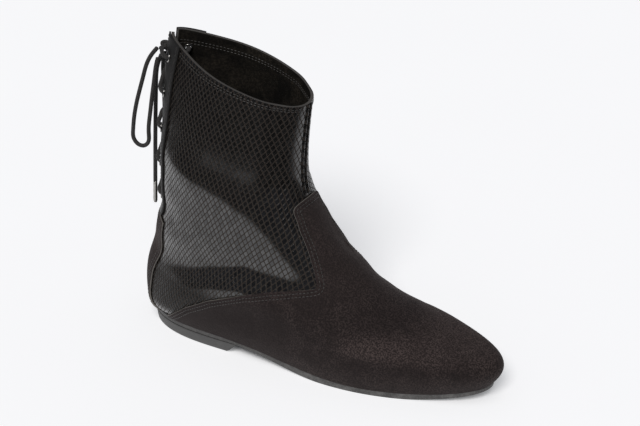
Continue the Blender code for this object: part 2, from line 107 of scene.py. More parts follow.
# back x and z, front x and z, half widths from heel to tip, how far it dips with the sole, lean to the left
RINGS = np.array((
    (5, 12, 258.5, 9.5, 58, 43, 34, 39.5, 36, 35, 1, 0),
    (0, 24, 265, 18.5, 59, 47, 37.5, 41.5, 39.5, 38.5, 0.9, 0),
    (1.5, 42, 259.5, 27, 56, 48, 39, 41, 40.5, 39, 0.6, 0),
    (7.5, 60, 231, 33, 51.5, 46.5, 39, 39.5, 38.5, 37, 0.35, 0),
    (13.5, 78, 190, 47.5, 46.5, 43.5, 38, 37, 37.5, 35.5, 0.15, 0),
    (18.5, 96, 161.5, 69, 41, 39.5, 36, 34, 36.5, 34, 0.05, 0),
    (21.5, 123.5, 134, 102, 35.5, 35.5, 34, 32, 36, 33.5, 0, 0),
    (24, 152, 127.5, 133, 30.5, 31, 32, 31.5, 35.5, 33.5, 0, 1),
    (26.5, 182, 129.5, 159.5, 25, 25.5, 28.5, 29.5, 33, 32.5, 0, 3),
    (30.5, 210.3, 131.5, 177.5, 19, 20, 25.5, 28, 30.5, 32, 0, 5),
))
BACK_X, BACK_Z, FRONT_X, FRONT_Z = range(4)
WIDTHS = slice(4, 10)
TIP_WIDTH, DIP, LEAN = 9, 10, 11
RING_PLACES = np.linspace(0.0, 1.0, len(RINGS))
WIDTH_ANGLES = np.radians((0, 46, 79, 115, 144, 180))
# x and height of the sole's upper face, x and the last's drift to the left
SEAT = np.array((
    (-5, 12.2), (40, 11.7), (75, 11.2), (120, 8), (165, 4.5), (200, 4.5), (235, 6.3), (262, 9.8)))
DRIFT = np.array(((0, 0.0), (90, 0.0), (150, 0.0), (205, 2.2), (225, 2.2), (262, 1.5)))
DRIFT_TOP = 120.0
DRIFT_FADE = 60.0
SMALL = 1e-3


def natural_spline(knots, values, at):
    """Natural cubic spline through values, one row for each knot: straight blend plus cubic bend terms."""
    knots, values, at = (np.asarray(item, float) for item in (knots, values, at))
    steps = np.diff(knots)
    count = len(knots)
    system = np.eye(count)
    bend = np.zeros(values.shape)
    for i in range(1, count - 1):
        system[i, i - 1:i + 2] = steps[i - 1], 2 * (steps[i - 1] + steps[i]), steps[i]
        bend[i] = 6 * ((values[i + 1] - values[i]) / steps[i] - (values[i] - values[i - 1]) / steps[i - 1])
    bend = np.linalg.solve(system, bend)
    k = np.clip(np.searchsorted(knots, at) - 1, 0, count - 2)
    extra = (1,) * (values.ndim - 1)
    step = steps[k].reshape(at.shape + extra)
    after = ((at - knots[k]) / steps[k]).reshape(at.shape + extra)
    before = 1 - after
    curve = ((before**3 - before) * bend[k] + (after**3 - after) * bend[k + 1]) * step**2 / 6
    return before * values[k] + after * values[k + 1] + curve


def seat_height(x):
    """Height of the sole's upper face at x."""
    return natural_spline(SEAT[:, 0], SEAT[:, 1], x)


def ring_height(row, x, along):
    """Height of a ring: straight from its back to its front, and dipping with the sole."""
    straight = RINGS[0, BACK_Z] + (RINGS[0, FRONT_Z] - RINGS[0, BACK_Z]) * along
    level = row[..., BACK_Z] + (row[..., FRONT_Z] - row[..., BACK_Z]) * along
    return level + row[..., DIP] * (seat_height(x) - straight)


def last_surface(ring, angle):
    """Point of the last: x runs from back to front with (1 - cos angle) / 2, y is the width times sin
    angle, and z is the ring's height there."""
    ring, angle = np.broadcast_arrays(np.asarray(ring, float), np.asarray(angle, float))
    row = natural_spline(RING_PLACES, RINGS, ring)
    folded = np.pi - np.abs(np.mod(angle, 2 * np.pi) - np.pi)
    width = (natural_spline(WIDTH_ANGLES, np.eye(len(WIDTH_ANGLES)), folded) * row[..., WIDTHS]).sum(-1)
    along = (1 - np.cos(angle)) / 2
    x = row[..., BACK_X] + (row[..., FRONT_X] - row[..., BACK_X]) * along
    z = ring_height(row, x, along)
    drift = natural_spline(DRIFT[:, 0], DRIFT[:, 1], x) * np.clip((DRIFT_TOP - z) / DRIFT_FADE, 0, 1)
    return np.stack([x, width * np.sin(angle) + drift + row[..., LEAN], z], -1)


def slopes(ring, angle):
    """How the last's point moves with the ring and with the angle, from points a little to each side."""
    up = last_surface(ring + SMALL, angle) - last_surface(ring - SMALL, angle)
    around = last_surface(ring, angle + SMALL) - last_surface(ring, angle - SMALL)
    return up / (2 * SMALL), around / (2 * SMALL)


def outward(ring, angle):
    """Unit normal: the cross product of the slopes up and around."""
    return unit(np.cross(*slopes(ring, angle)))


print("collar at", last_surface(1.0, np.array((0.0, np.pi))).round(1).tolist())

# %% [markdown]
# ## Creases
# A boot that has been worn rolls outwards above the ankle, sinks in below that roll, and its vamp has
# shallow lines where the toes bend. They could be sculpted, but a short table says more: each row is a bent
# line in the side view with a height at each point (a trough is below zero), the width of its soft bell
# curve and its side (1 left, -1 right, 0 both).

# %% Creases
CREASES = (
    # roll above the ankle, sink below it, swell along the vamp's wing
    (((37, 134, 1.2), (50, 130, 1.9), (64, 122, 1.9), (84, 116, 1.9), (106, 104, 1.9), (124, 92, 1.9),
      (152, 64, 1.9)), 11, 0),
    (((22, 58, -3), (45, 62, -3.4), (69, 67, -3.4), (98, 71, -3.2), (116, 66, -2.6), (131, 63, -1.8),
      (144, 62, -1)), 11, 0),
    (((20, 19, 3.2), (34, 24, 3.4), (52, 35, 3.2), (80, 48, 3.2), (100, 53, 2.8), (118, 53, 1.8),
      (134, 52, 1)), 11, 0),
    # fold and dent beside the facing
    (((33, 84, 0.7), (36, 112, 0.9)), 7, 0),
    (((24, 93, -1.2), (37, 92, -1.2)), 9, 0),
    # hollows of the shaft, the last one beside the front seam
    (((106, 132, -0.6), (108, 165, -0.6)), 12, 0),
    (((38, 140, -0.8), (44, 168, -0.8)), 9, 0),
    (((60, 140, -0.5), (66, 180, -0.5)), 12, -1),
    (((70, 132, -0.5), (100, 150, -0.5)), 10, 1),
    (((120, 176, -1.8), (119, 150, -2), (118, 128, -2)), 7, 0),
    # lines where the toes bend
    (((150, 70, -0.3), (166, 54, -0.3)), 8, 0),
    (((172, 30, -0.35), (182, 46, -0.25)), 7, 0),
    (((198, 18, -0.3), (206, 32, -0.2)), 6, 0),
    # hollows of the inner instep and behind the ball
    (((141, 90, -2), (149, 75, -3.4), (156, 66, -2), (162, 58, -1)), 9, 1),
    (((166, 49, -1.6), (176, 43.5, -2), (185, 39, -1.9), (193, 35, -1.2)), 8, 1),
)
SOLE_FADE = (6, 17)
SIDE_FADE = 20
BACK_ANGLES = np.linspace(0, 1.6, 161)


def crease_height(points):
    """Sum of bell curves: height * exp(-(d / width)^2), where d is the side view's distance to the nearest
    stretch of the crease's line. It fades to nothing at the sole, which holds the leather flat."""
    total = np.zeros(points.shape[:-1])
    place = points[..., None, ::2]
    for line, width, side in CREASES:
        line = np.array(line, float)
        step = np.diff(line, axis=0)
        away = place - line[:-1, :2]
        share = np.clip((away * step[:, :2]).sum(-1) / (step[:, :2]**2).sum(-1), 0, 1)
        distance = np.linalg.norm(away - share[..., None] * step[:, :2], axis=-1)
        nearest = distance.argmin(-1)[..., None]
        bell = (line[:-1, 2] + step[:, 2] * share) * np.exp(-(distance / width)**2)
        seen = np.clip(0.5 + side * points[..., 1] / SIDE_FADE, 0, 1) if side else 1
        total += np.take_along_axis(bell, nearest, -1)[..., 0] * seen
    return total * np.clip((points[..., 2] - SOLE_FADE[0]) / (SOLE_FADE[1] - SOLE_FADE[0]), 0, 1)


def lifted(ring, angle, lift=0):
    """Point above the upper: the last, moved along its normal by the creases and by the lift."""
    ring, angle = np.broadcast_arrays(np.asarray(ring, float), np.asarray(angle, float))
    base = last_surface(ring, angle)
    return base + (np.asarray(lift) + crease_height(base))[..., None] * outward(ring, angle)


def angle_at(ring, distance):
    """Angle at a distance around each ring from the middle of the back (left is above zero): the run of
    small chords, read backwards."""
    ring, distance = np.broadcast_arrays(np.atleast_1d(np.asarray(ring, float)), np.asarray(distance, float))
    steps = np.linalg.norm(np.diff(last_surface(ring.ravel()[:, None], BACK_ANGLES), axis=1), axis=-1)
    run = np.concatenate([np.zeros((ring.size, 1)), np.cumsum(steps, axis=1)], axis=1)
    found = [np.interp(abs(want), line, BACK_ANGLES) for want, line in zip(distance.ravel(), run)]
    return np.sign(distance) * np.array(found).reshape(ring.shape)


sample = last_surface(np.linspace(0, 1, 60)[:, None], np.linspace(0, 2 * np.pi, 90))
print("creases from", crease_height(sample).min().round(2), "to", crease_height(sample).max().round(2), "mm")

# %% [markdown]
# ## Meshes from grids
# Each piece is one or more grids of points. Its quads, and a chart (the UV map) that lays the leather flat
# in millimetres, come from whole arrays. Solidify then gives a cut piece of leather its thickness, and
# Bevel breaks the cut edges, because a knife-sharp edge never catches the light as real leather does.

# %% Mesh helpers
SHARP = math.radians(55)


def grid_quads(rows, columns, flip):
    """Corner numbers of every cell of a grid, counter-clockwise from outside where rows go up and columns
    around."""
    corner = np.arange(rows * columns).reshape(rows, columns)
    quads = np.stack([corner[:-1, :-1], corner[1:, :-1], corner[1:, 1:], corner[:-1, 1:]], -1).reshape(-1, 4)
    return quads[:, ::-1] if flip else quads


def chord_run(points):
    """Distance along a line from its first point: the sum of the chords."""
    return np.concatenate(([0.0], np.cumsum(np.linalg.norm(np.diff(points, axis=0), axis=1))))


def circles(first, second, sides):
    """Points of unit circles, each in the plane of two square directions."""
    turn = np.linspace(0, 2 * np.pi, sides + 1)[:, None]
    return np.cos(turn) * first[:, None] + np.sin(turn) * second[:, None]


def spans(points, axis, start):
    """Length along one axis of a grid, from its row or column number start: the sum of the chords."""
    chords = np.linalg.norm(np.diff(points, axis=axis), axis=-1)
    run = np.insert(np.cumsum(chords, axis=axis), 0, 0.0, axis=axis)
    return run - np.take(run, [start], axis=axis)


def flat_chart(points, column):
    """Chart in millimetres: the distance around from one column, and the distance up from the first row."""
    return np.stack([spans(points, 1, column), spans(points, 0, 0)], -1)


def add_piece(name, patches, finishes, weld=0.03, closed=False):
    """A piece from patches (points, chart, flip, finish number), welded where their edges meet. The faces
    of closed shapes are turned outwards."""
    faces = []
    charts = []
    numbers = []
    count = 0
    for points, chart, flip, number in patches:
        quads = grid_quads(*points.shape[:2], flip)
        faces.append(quads + count)
        charts.append(chart.reshape(-1, 2)[quads.ravel()])
        numbers.append(np.full(len(quads), number))
        count += points.shape[0] * points.shape[1]
    corners = np.concatenate([patch[0].reshape(-1, 3) for patch in patches])
    mesh = bpy.data.meshes.new(name)
    mesh.from_pydata(to_frame(corners), [], np.concatenate(faces))
    mesh.uv_layers.new(name="chart").data.foreach_set("uv", np.concatenate(charts).ravel())
    mesh.polygons.foreach_set("material_index", np.concatenate(numbers))
    for made in finishes:
        mesh.materials.append(made)
    shape = bmesh.new()
    shape.from_mesh(mesh)
    bmesh.ops.remove_doubles(shape, verts=shape.verts, dist=weld * MM)
    if closed:
        bmesh.ops.recalc_face_normals(shape, faces=shape.faces)
    shape.to_mesh(mesh)
    shape.free()
    mesh.shade_smooth()
    piece = put_in_scene(name, mesh)
    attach(piece, "root")
    return piece


def thicken(piece, thickness, offset, edge, cutter=None, inside=0, rim=0):
    """Leather's thickness (offset -1 inwards, 1 outwards), the holes cut through it, and broken edges. The
    mesh that these make takes the place of the thin one."""
    wall = piece.modifiers.new("Thickness", "SOLIDIFY")
    wall.thickness = thickness * MM
    wall.offset = offset
    wall.use_even_offset = True
    wall.material_offset = inside
    wall.material_offset_rim = rim
    if cutter:
        cut = piece.modifiers.new("Holes", "BOOLEAN")
        cut.object = cutter
        cut.solver = "EXACT"
    ease = piece.modifiers.new("Edges", "BEVEL")
    ease.width = edge * MM
    ease.segments = 2
    ease.limit_method = "ANGLE"
    ease.angle_limit = SHARP
    bpy.context.view_layer.update()
    graph = bpy.context.evaluated_depsgraph_get()
    thick = piece.evaluated_get(graph)
    mesh = bpy.data.meshes.new_from_object(thick, preserve_all_data_layers=True, depsgraph=graph)
    mesh.name = piece.name
    piece.modifiers.clear()
    piece.data = mesh


def stands_for(piece, *nodes):
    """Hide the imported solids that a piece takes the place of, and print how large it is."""
    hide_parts(*nodes)
    corners = np.array([vertex.co for vertex in piece.data.vertices])
    triangles = sum(len(face.vertices) - 2 for face in piece.data.polygons)
    print(f"{piece.name}: {triangles} triangles, {np.round(np.ptp(corners, axis=0) / MM, 1).tolist()} mm")


# %% [markdown]
# ## Finishes: helpers and shared effects
# A finish is a small network of shader nodes. Written node by node it is hard to read, so a value in it
# takes plain arithmetic here, and each sign adds a Math node. The effects that several finishes share (fine
# grain, nap, dust near the floor) are node groups, built once. Each puts out masks or a height, and each
# finish gives it its own sizes.

# %% Node helpers
class Wire:
    """A value in a node tree. Arithmetic with it adds Math nodes."""

    def __init__(self, socket):
        self.socket = socket
        self.tree = socket.id_data

    def maths(self, operation, *others):
        """Output of one Math node, with this value first."""
        return node(self.tree, "Math", enumerate((self, *others)), operation=operation)[0]

    __add__ = partialmethod(maths, "ADD")
    __sub__ = partialmethod(maths, "SUBTRACT")
    __mul__ = partialmethod(maths, "MULTIPLY")
    __truediv__ = partialmethod(maths, "DIVIDE")

    def __rtruediv__(self, other):
        return node(self.tree, "Math", {0: other, 1: self}, operation="DIVIDE")[0]

    def between(self, low, high):
        """This value's share of the way from low to high, eased at both ends."""
        return node(self.tree, "MapRange", {0: self, 1: low, 2: high}, interpolation_type="SMOOTHSTEP")[0]

    def blend(self, first, second):
        """A colour between two, with this value as the second one's share."""
        return node(self.tree, "Mix", {0: self, 6: first, 7: second}, data_type="RGBA")[2]

    def parts(self):
        """The x, y and z of a place."""
        found = node(self.tree, "SeparateXYZ", {0: self})
        return found[0], found[1], found[2]

    def noise(self, scale, detail, **more):
        """Outputs of a cloudy noise at this place."""
        return node(self.tree, "TexNoise", {"Vector": self, "Scale": scale, "Detail": detail, **more})


def feed(socket, value):
    """Give an input a constant, or another node's output."""
    if isinstance(value, Wire):
        value.tree.links.new(value.socket, socket)
    else:
        socket.default_value = value


def node(tree, kind, inputs=(), **settings):
    """Outputs of a new shader node, by number and by name."""
    made = tree.nodes.new("ShaderNode" + kind)
    for label, value in settings.items():
        setattr(made, label, value)
    for label, value in dict(inputs).items():
        feed(made.inputs[label], value)
    return {key: Wire(out) for number, out in enumerate(made.outputs) for key in (number, out.name)}


def shader_group(name, inputs, outputs):
    """An empty node group, its inputs by name (numbers, or places that have no value) and its outputs."""
    group = bpy.data.node_groups.new(name, "ShaderNodeTree")
    for label, value in inputs:
        kind = "NodeSocketVector" if value is None else "NodeSocketFloat"
        socket = group.interface.new_socket(label, in_out="INPUT", socket_type=kind)
        if value is not None:
            socket.default_value = value
    for label in outputs:
        group.interface.new_socket(label, in_out="OUTPUT", socket_type="NodeSocketFloat")
    given = {out.name: Wire(out) for out in group.nodes.new("NodeGroupInput").outputs}
    return group, given, group.nodes.new("NodeGroupOutput").inputs


def use_group(group, place, *sizes):
    """Outputs of a group placed in a finish with its own sizes."""
    return node(place.tree, "Group", enumerate((place, *sizes)), node_tree=group)


def finish(name):
    """A new material and its object coordinates."""
    made = bpy.data.materials.new(name)
    made.use_nodes = True
    return made, node(made.node_tree, "TexCoord")["Object"]


def chart_of(place):
    """The piece's chart, in the finish of that place."""
    return node(place.tree, "UVMap", uv_map="chart")[0]


def dress(place, colour, roughness, height=None, depth=0.0, **inputs):
    """Feed a finish's shader its colour, its roughness, the bump of a height of that depth in millimetres,
    and other named inputs."""
    shader = place.tree.nodes["Principled BSDF"].inputs
    feed(shader["Base Color"], colour)
    feed(shader["Roughness"], roughness)
    for label, value in inputs.items():
        feed(shader[label.replace("_", " ")], value)
    if height:
        feed(shader["Normal"], node(place.tree, "Bump", {"Height": height, "Distance": depth * MM})[0])


# %% Grain, nap and dust groups
PER_METRE = 1 / MM      # a noise of this scale has one cell a millimetre

grain_group, given, result = shader_group(
    "Fine grain", (("Place", None), ("Size", 0.6), ("Wrinkle", 4.0)), ("Height", "Patch"))
pebble_inputs = {"Vector": given["Place"], "Scale": PER_METRE / given["Size"]}
pebbles = node(grain_group, "TexVoronoi", pebble_inputs, feature="SMOOTH_F1")[0]
folds = given["Place"].noise(PER_METRE / given["Wrinkle"], 3.0)[0]
feed(result["Height"], folds * 0.6 + pebbles)
feed(result["Patch"], folds)

nap_group, given, result = shader_group(
    "Nap", (("Place", None), ("Fibre", 0.5), ("Brush", 9.0)), ("Height", "Speckle", "Brushed"))
fibres = given["Place"].noise(PER_METRE / given["Fibre"], 4.0, Roughness=0.7)[0]
tufts = given["Place"].noise(0.4 * PER_METRE / given["Fibre"], 2.0)[0]
strokes = given["Place"].noise(PER_METRE / given["Brush"], 3.0, Distortion=0.6)[0]
feed(result["Height"], tufts * 0.7 + fibres)
feed(result["Speckle"], fibres.between(0.44, 0.6))
feed(result["Brushed"], strokes.between(0.25, 0.75))

dust_group, given, result = shader_group("Floor dust", (("Place", None), ("Reach", 10.0)), ("Dust",))
near_floor = given["Place"].parts()[2] / (given["Reach"] * MM) * -1.0 + 1.0
cloud = given["Place"].noise(130.0, 6.0, Roughness=0.7)[0]
feed(result["Dust"], node(dust_group, "Clamp", {0: near_floor})[0] * cloud.between(0.38, 0.72))
print("groups:", [group.name for group in bpy.data.node_groups])

# %% [markdown]
# ## Snake-embossed leather
# A heated plate presses a net of grooves into a smooth black hide. The diamonds between them stay flat and
# polished: they mirror the pale floor where they face it and go black where they face the dim room. The
# grooves stay dull and brown. An image could hold the net, but two families of lines in the flat chart give
# it from a cell's width and height. Two places have lost their polish: the lower corner beside the heel,
# and the left quarter beside the front seam.

# %% Scale net
SCALE_WIDTH = 3.3
SCALE_HEIGHT = 5.7
SWAY = 0.3
EDGE_ROUND = 0.2

scale_group, given, result = shader_group(
    "Scale net", (("Chart", None), ("Width", 3.0), ("Height", 5.0), ("Sway", 0.3)),
    ("Plate", "Relief", "Tone"))
wander = given["Chart"].noise(0.11, 3.0, Roughness=0.75)["Color"].parts()
chart = given["Chart"].parts()
across = chart[0] / given["Width"]
along = chart[1] / given["Height"]
rising = wander[0] * given["Sway"] + (along + across)
falling = wander[1] * given["Sway"] + (along - across)
edge = rising.maths("PINGPONG", 0.5).maths("SMOOTH_MIN", falling.maths("PINGPONG", 0.5), EDGE_ROUND)
cell = node(scale_group, "CombineXYZ", {0: rising.maths("FLOOR"), 1: falling.maths("FLOOR")})[0]
feed(result["Plate"], edge.between(0.05, 0.14))
feed(result["Relief"], edge.between(-0.02, 0.26))
feed(result["Tone"], node(scale_group, "TexWhiteNoise", {"Vector": cell}, noise_dimensions="2D")[0])
print("scale net: cells of", SCALE_WIDTH, "x", SCALE_HEIGHT, "mm")

# %% Snake-embossed leather
GROOVE_ROUGH = 0.62
POLISH_LOST = 0.92

snake, place = finish("snake_embossed_leather")
net = use_group(scale_group, chart_of(place), SCALE_WIDTH, SCALE_HEIGHT, SWAY)
grain = use_group(grain_group, place, 0.5, 9.0)
plate_colour = net["Tone"].blend((0.002, 0.0018, 0.0017, 1), (0.005, 0.0045, 0.0042, 1))
leather_colour = net["Plate"].blend((0.036, 0.029, 0.0245, 1), plate_colour)
plate_rough = net["Tone"] * 0.08 + (grain["Patch"] * 0.14 + 0.1)
relief = grain["Patch"] * 1.1 + (grain["Height"] * 0.04 + net["Relief"])
x, y, z = place.parts()
dull_corner = z.between(0.056, 0.042) * z.between(0.015, 0.024) * x.between(-0.03, -0.07)
dull_front = y.between(0.0, 0.004) * x.between(-0.034, -0.02) * z.between(0.17, 0.15)
kept = dull_corner.maths("MAXIMUM", dull_front) * -POLISH_LOST + 1.0
rough = net["Plate"] * (plate_rough - GROOVE_ROUGH) + GROOVE_ROUGH
polish = net["Plate"] * kept * (net["Tone"] * 0.34 + 0.66)
dress(place, leather_colour, rough, relief, 0.38, Specular_IOR_Level=0.1, Coat_Weight=polish,
      Coat_Roughness=0.16, Coat_IOR=1.85)
print("snake leather: grooves", GROOVE_ROUGH, "rough")

# %% [markdown]
# ## Suede, smooth leather, lining and thread
# Suede is the hide's inner side, buffed to a nap: nearly black, but its fibres go pale where they are
# brushed against the light, so the colour wanders in strokes and specks and a sheen lobe lifts the edges. A
# band round the toe is rubbed paler. Painted shade darkens the suede low on the wing towards the heel, and
# painted light makes it paler high up, over the instep and the tab. The facings are smooth calf with a fine
# pebble. The lining is dull and the thread waxed.

# %% Suede
RUBBED_HEIGHT = 33.0

suede, place = finish("dark_suede")
nap = use_group(nap_group, place, 1.0, 16.0)
dust = use_group(dust_group, place, 24.0)["Dust"]
x, _, z = place.parts()
off_band = (z - RUBBED_HEIGHT * MM).maths("ABSOLUTE")
rubbed = off_band.between(0.01, 0.001) * x.between(0.026, 0.056)
# painted shade: the suede is made darker low on the wing, towards the heel
shaded = x.between(0.03, -0.05) * z.between(0.06, 0.03)
nap_wear_and_painted_light = nap["Speckle"] * (nap["Brushed"] * 0.35 + 0.15)
nap_wear_and_painted_light = rubbed * (nap["Speckle"] * 0.4 + 0.12) + nap_wear_and_painted_light
# painted light: the suede is made paler from 40 to 70 mm up, over the instep and the tab
nap_wear_and_painted_light = z.between(0.04, 0.07) * 0.09 + nap_wear_and_painted_light * (shaded * -0.75 + 1.0)
suede_colour = nap_wear_and_painted_light.blend((0.0132, 0.01, 0.01, 1), (0.08, 0.06, 0.0565, 1))
suede_colour = (dust * 0.12).blend(suede_colour, (0.08, 0.07, 0.066, 1))
dress(place, suede_colour, nap["Brushed"] * -0.06 + 0.95, nap["Height"], 0.26, Specular_IOR_Level=0.12,
      Sheen_Weight=0.11, Sheen_Roughness=0.5, Sheen_Tint=(0.58, 0.51, 0.5, 1))
print("suede: rubbed band at", RUBBED_HEIGHT, "mm")


# %% Smooth leather, edges, thread, metal and lining
def grained(name, dark, pale, sizes, rough, depth, **constants):
    """A plain finish: two tones mixed by the patches of a grain (size, wrinkle), and a roughness (least,
    spread) that goes with them."""
    made, place = finish(name)
    grain = use_group(grain_group, place, *sizes)
    colour = grain["Patch"].blend((*dark, 1), (*pale, 1))
    dress(place, colour, grain["Patch"] * rough[1] + rough[0], grain["Height"], depth, **constants)
    return made


cut_edge = grained("cut_suede_edge", (0.08, 0.073, 0.068), (0.19, 0.175, 0.16), (0.4, 3), (0.5, 0.2), 0.1)
collar_edge = grained("collar_edge", (0.046, 0.042, 0.039), (0.1, 0.093, 0.086), (0.4, 3), (0.5, 0.2), 0.1)
calf = grained("smooth_leather", (0.01, 0.0095, 0.0095), (0.024, 0.0225, 0.0215), (0.75, 6), (0.36, 0.22),
               0.12)
thread = grained("waxed_thread", (0.022, 0.021, 0.02), (0.06, 0.056, 0.053), (0.3, 5), (0.3, 0.2), 0.05)
valley = grained("seam_valley", (0.002, 0.0018, 0.0017), (0.006, 0.0055, 0.005), (0.4, 3), (0.65, 0.2), 0.1,
                 Specular_IOR_Level=0.15)
metal = grained("dark_metal", (0.26, 0.25, 0.24), (0.46, 0.45, 0.43), (0.3, 1.5), (0.14, 0.2), 0.01,
                Metallic=1.0)

lining, place = finish("dark_lining")
grain = use_group(grain_group, place, 0.9, 3.0)
nap = use_group(nap_group, place, 1.6, 17.0)
mottle = nap["Brushed"] * (nap["Speckle"] * 0.7 + 0.3)
lining_colour = mottle.blend((0.0028, 0.0024, 0.002, 1), (0.03, 0.0245, 0.0185, 1))
dress(place, lining_colour, grain["Patch"] * 0.2 + 0.62, grain["Height"], 0.15, Specular_IOR_Level=0.2)
print("finishes so far:", sorted(material.name for material in bpy.data.materials))

# %% [markdown]
# ## Rubber and braid
# The heel is grey rubber and the sole a darker grey, both dusty near the floor and specked all over. The
# lace is a round braid: two families of strands wind round it in opposite ways, and each goes over and
# under the other.

# %% Rubber and braid
DUST_TONE = (0.2, 0.197, 0.19, 1)
SPECK_TONE = (0.15, 0.148, 0.143, 1)
BRAID_LAY = 1.9
BRAID_STRANDS = 5.0
STRAND_ROUND = 0.15


def rubber_finish(name, dark, pale, dusty, specked):
    """Rubber between two greys, with pale dust near the floor and specks all over."""
    made, place = finish(name)
    grain = use_group(grain_group, place, 0.5, 7.0)
    dust = use_group(dust_group, place, 14.0)["Dust"]
    specks = use_group(nap_group, place, 0.9, 8.0)["Speckle"]
    colour = (dust * dusty).blend(grain["Patch"].blend(dark, pale), DUST_TONE)
    colour = (specks * specked).blend(colour, SPECK_TONE)
    dress(place, colour, dust * 0.25 + 0.5, grain["Height"], 0.06)
    return made


rubber = rubber_finish("grey_heel_rubber", (0.046, 0.045, 0.045, 1), (0.066, 0.065, 0.064, 1), 0.2, 0.05)
sole_rubber = rubber_finish(
    "dark_sole_rubber", (0.021, 0.0195, 0.019, 1), (0.046, 0.043, 0.042, 1), 0.7, 0.25)

braid, place = finish("black_braid")
chart = chart_of(place).parts()
lay = chart[0] / BRAID_LAY
wind = chart[1] * BRAID_STRANDS
under = (wind - lay).maths("PINGPONG", 0.5)
strand = (wind + lay).maths("PINGPONG", 0.5).maths("SMOOTH_MAX", under, STRAND_ROUND)
crown = strand.between(0.2, 0.5)
lint = use_group(nap_group, place, 0.35, 6.0)["Speckle"]
# painted shade: the braid's colour is darker in the grooves between strands and paler on their crowns
braid_colour = crown.blend((0.006, 0.0055, 0.0055, 1), (0.03, 0.0275, 0.0268, 1))
braid_colour = (lint * 0.3).blend(braid_colour, (0.06, 0.055, 0.053, 1))
dress(place, braid_colour, crown * -0.15 + 0.85, strand, 0.5, Sheen_Weight=0.08)
print("finishes:", len(bpy.data.materials))

# %% [markdown]
# ## The lace's loops and ends
# A bow has two loops and two ends. They hang from the knot at the top of the slit under their own weight,
# limp as cotton cord is. A curve with a bevel would do, but a tube made here carries its own chart, which
# the braid needs. The route's few points are given, and a spline runs through them.

# %% Tubes along a route
LACE = 1.4                   # radius
TUBE_SIDES = 14
DOME = 0.4
ASIDE = (0.37, 0.83, 0.41)   # any direction that no route starts in


def along_route(route, spacing):
    """Even points on a natural spline through a route, read by its run of chords."""
    run = chord_run(route)
    return natural_spline(run, route, np.linspace(0, run[-1], int(run[-1] / spacing) + 2))


def tube_patch(path, radius):
    """A circle carried along a path and turned no more than the path turns, closed with a low dome at each
    end."""
    ahead = unit(np.gradient(path, axis=0))
    side = np.zeros_like(path)
    side[0] = np.cross(ahead[0], ASIDE)
    for i in range(1, len(path)):
        side[i] = unit(side[i - 1])
        side[i] -= ahead[i] * (side[i] @ ahead[i])
    side = unit(side)
    radius = np.broadcast_to(radius, len(path))[:, None, None]
    points = path[:, None] + radius * circles(side, np.cross(ahead, side), TUBE_SIDES)
    first = np.broadcast_to(path[0] - DOME * radius[0] * ahead[0], points[:1].shape)
    last = np.broadcast_to(path[-1] + DOME * radius[-1] * ahead[-1], points[:1].shape)
    run = np.pad(chord_run(path), 1, mode="edge")
    chart = np.stack(np.broadcast_arrays(run[:, None], np.linspace(0, 1, TUBE_SIDES + 1)), -1)
    return np.concatenate([first, points, last]), chart, True, 0


# %% Loops and ends of the bow
ROUTES = {
    "loop_right": ((20.5, -1, 198), (17.5, -4.5, 193.5), (11.5, -7.5, 178.5), (6.5, -9, 163.5),
                   (2.6, -10, 149.5), (0.2, -10, 138.2), (0, -9.9, 132.6), (3.4, -9.7, 128.6),
                   (8.2, -9.4, 128.6), (11.8, -9.1, 132.6), (12.3, -8.8, 138.2), (14.2, -8, 151.5),
                   (16.9, -7, 165.5), (19.3, -5.5, 179), (20.3, -3.5, 187.5), (20.6, -1.6, 191.2)),
    "loop_left": ((20.5, 9.2, 198), (18.5, 13, 193.5), (13.6, 17, 184), (9.4, 20, 171), (7.7, 21.6, 161.6),
                  (7.5, 22, 156), (11.1, 22.1, 152), (15.9, 21.8, 152), (19.5, 21.2, 156),
                  (19.7, 20.5, 161.6), (19.8, 18.5, 171), (20.1, 15, 181), (20.5, 11.5, 188),
                  (20.6, 9.8, 191.2)),
    "end_right": ((20.8, 2, 192), (17.5, 1, 184), (15.6, 0.2, 172), (14, -0.5, 156), (11.6, -1, 134),
                  (9.4, -1.2, 114), (7.7, -1.3, 98)),
    "end_left": ((20.8, 6.2, 192), (17.5, 7.5, 184), (15.6, 8.5, 172), (14, 9.3, 156), (12.4, 9.6, 140),
                 (10.8, 9.8, 124)),
}
TIP_GAP = 0.3
TIP_LENGTH = 16.0
TIP_POINTS = 34
TIP_RADIUS = (1.3, 1.5, 1.5, 1.42, 1.5, 1.5, 1.42, 1.5, 1.5, 1.45, 1.15)

for label, route in ROUTES.items():
    path = along_route(route, 1.0)
    cord = add_piece(f"bow_{label}", [tube_patch(path, LACE)], [braid])
    stands_for(cord, f"lace_{label}")
    if label.startswith("end"):
        tip = np.array(route[-1])
        share = np.linspace(0, 1, TIP_POINTS)
        core = tip + (TIP_GAP + TIP_LENGTH * share)[:, None] * unit(tip - route[-2])
        radius = np.interp(share, np.linspace(0, 1, len(TIP_RADIUS)), TIP_RADIUS)
        aglet = add_piece(f"tip_{label}", [tube_patch(core, radius)], [metal])
        stands_for(aglet, label.replace("end", "aglet"))

# %% [markdown]
# ## Lacing and knot
# The cord comes out of an eyelet, crosses the slit over its partner or under it, dives below the opposite
# facing and comes out of the next eyelet up. Its lowest stretch lies inside the boot. One route of named
# lifts, repeated from eyelet to eyelet, gives the whole cord. The knot is a trefoil of the same cord.

# %% Eyelet places and the slit
EYELETS = 5
EYELET_LOW = 97.0
EYELET_TOP = 197.0
EYELET_OUT = 12.0
SLIT_BOTTOM = 0.478
SLIT_ROUND = 0.04
SLIT_HALF_LOW = 4.4
SLIT_HALF_TOP = 3.4
fine_rings = np.linspace(0, 1, 401)
fine_heights = natural_spline(RING_PLACES, RINGS[:, BACK_Z], fine_rings)
eyelet_rings = np.interp(np.linspace(EYELET_LOW, EYELET_TOP, EYELETS), fine_heights, fine_rings)
print("eyelets at rings", eyelet_rings.round(3).tolist())


